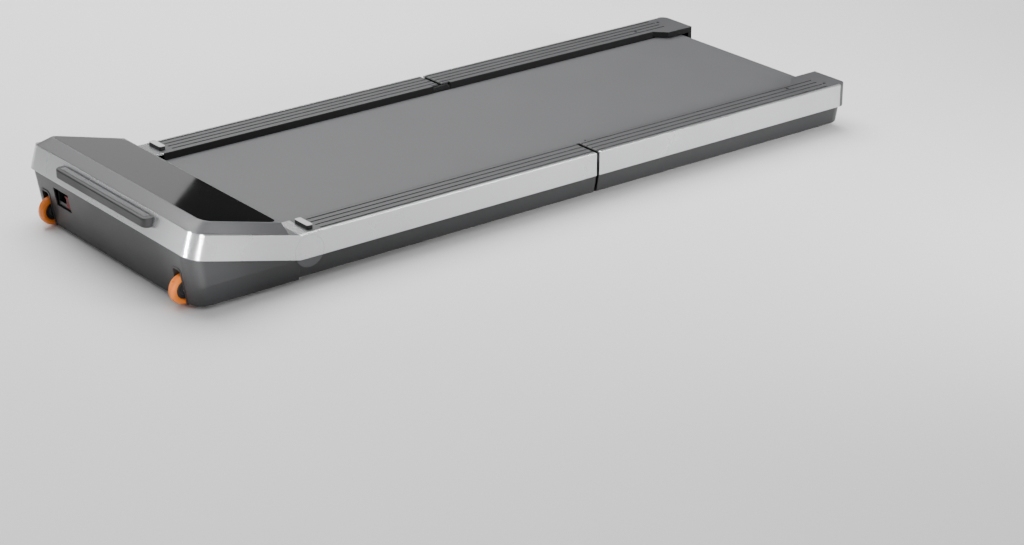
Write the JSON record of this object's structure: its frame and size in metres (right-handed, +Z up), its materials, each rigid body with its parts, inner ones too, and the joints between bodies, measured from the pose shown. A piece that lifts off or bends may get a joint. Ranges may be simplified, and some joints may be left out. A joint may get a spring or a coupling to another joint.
{
  "type": "folding walking pad",
  "caption": "Low folding walking pad: a motor head with a display, a grey walking belt between foot rails, and a rear deck that folds over the front on hinge links.",
  "frame": {"origin": "on the floor under the middle of the unfolded pad's box", "axes": "+Z up, +Y from the motor head to the tail, +X to the right of a walker who faces the head"},
  "size_m": [0.5402, 1.454, 0.1506],
  "materials": {
    "satin_trim": "satin anodised",
    "shell": "fine moulded texture",
    "cover": "satin moulded",
    "panel": "polished",
    "rail": "fine moulded texture",
    "belt": "woven texture",
    "wheel": "satin",
    "rocker": "satin",
    "black_plastic": "moulded",
    "soft_rubber": "matt",
    "bumper": "matt",
    "frame_steel": "powder coat",
    "bright_steel": "zinc plated",
    "board": "waxed board",
    "motor_case": "paint",
    "pulley": "turned",
    "electronics": "circuit board"
  },
  "bodies": {
    "front_unit": {"head_base": "shell", "front_base": "shell", "head_trim": "satin_trim", "side_trim_front_left": "satin_trim", "side_trim_front_right": "satin_trim", "head_cover": "cover", "display_panel": "panel", "display_board": "electronics", "front_bar": "cover", "power_inlet": "black_plastic", "wheel_housings": "black_plastic", "wheel_axles": "bright_steel", "motor": "motor_case", "motor_plate": "frame_steel", "drive_belt": "soft_rubber", "front_roller_axle": "bright_steel", "roller_brackets": "frame_steel", "controller": "black_plastic", "front_frame_left": "frame_steel", "front_frame_right": "frame_steel", "front_crossmember": "frame_steel", "deck_board_front": "board", "deck_cushions_front": "soft_rubber", "belt_front": "belt", "rail_front_left": "rail", "rail_front_right": "rail", "rail_bumpers": "bumper", "hub_discs": "shell", "hinge_brackets_front": "frame_steel", "hinge_pins_front": "bright_steel", "feet_front": "soft_rubber"},
    "hinge_link": {"hinge_link_left": "bright_steel", "hinge_link_right": "bright_steel"},
    "rear_unit": {"rear_base": "shell", "side_trim_rear_left": "satin_trim", "side_trim_rear_right": "satin_trim", "rail_rear_left": "rail", "rail_rear_right": "rail", "rear_frame_left": "frame_steel", "rear_frame_right": "frame_steel", "rear_crossmember": "frame_steel", "deck_board_rear": "board", "deck_cushions_rear": "soft_rubber", "belt_rear": "belt", "hinge_brackets_rear": "frame_steel", "hinge_pins_rear": "bright_steel", "rear_roller_axle": "bright_steel", "adjuster_bolts": "bright_steel", "feet_rear": "soft_rubber"},
    "drive_roller": {"front_roller": "bright_steel", "front_roller_bearings": "bright_steel", "drive_pulley": "pulley"},
    "tail_roller": {"rear_roller": "bright_steel", "rear_roller_bearings": "bright_steel"},
    "motor_rotor": {"motor_shaft": "bright_steel", "motor_pulley": "pulley"},
    "wheel_left": {"transport_wheel_left": "wheel"},
    "wheel_right": {"transport_wheel_right": "wheel"},
    "rocker": {"power_rocker": "rocker"}
  },
  "joints": [
    {"name": "fold_front", "type": "hinge", "parent": "front_unit", "child": "hinge_link", "pos_m": [0, 0.105, 0.078], "axis": [1, 0, 0], "range_deg": [0, 90]},
    {"name": "fold_rear", "type": "hinge", "parent": "hinge_link", "child": "rear_unit", "pos_m": [0, 0.133, 0.078], "axis": [1, 0, 0], "range_deg": [0, 90]},
    {"name": "drive_roller_spin", "type": "hinge", "parent": "front_unit", "child": "drive_roller", "pos_m": [0, -0.557, 0.0559], "axis": [1, 0, 0], "continuous": true},
    {"name": "tail_roller_spin", "type": "hinge", "parent": "rear_unit", "child": "tail_roller", "pos_m": [0, 0.6974, 0.0559], "axis": [1, 0, 0], "continuous": true},
    {"name": "motor_spin", "type": "hinge", "parent": "front_unit", "child": "motor_rotor", "pos_m": [0, -0.63705, 0.062], "axis": [1, 0, 0], "continuous": true},
    {"name": "wheel_left_spin", "type": "hinge", "parent": "front_unit", "child": "wheel_left", "pos_m": [-0.215, -0.7, 0.03], "axis": [1, 0, 0], "continuous": true},
    {"name": "wheel_right_spin", "type": "hinge", "parent": "front_unit", "child": "wheel_right", "pos_m": [0.215, -0.7, 0.03], "axis": [1, 0, 0], "continuous": true},
    {"name": "rocker_tilt", "type": "hinge", "parent": "front_unit", "child": "rocker", "pos_m": [-0.1405, -0.6989, 0.0685], "axis": [1, 0, 0], "range_deg": [-16, 0]}
  ],
  "couplings": [
    {"joint": "fold_front", "follows": "fold_rear", "ratio": 1},
    {"joint": "tail_roller_spin", "follows": "drive_roller_spin", "ratio": 1},
    {"joint": "motor_spin", "follows": "drive_roller_spin", "ratio": 2.8}
  ]
}
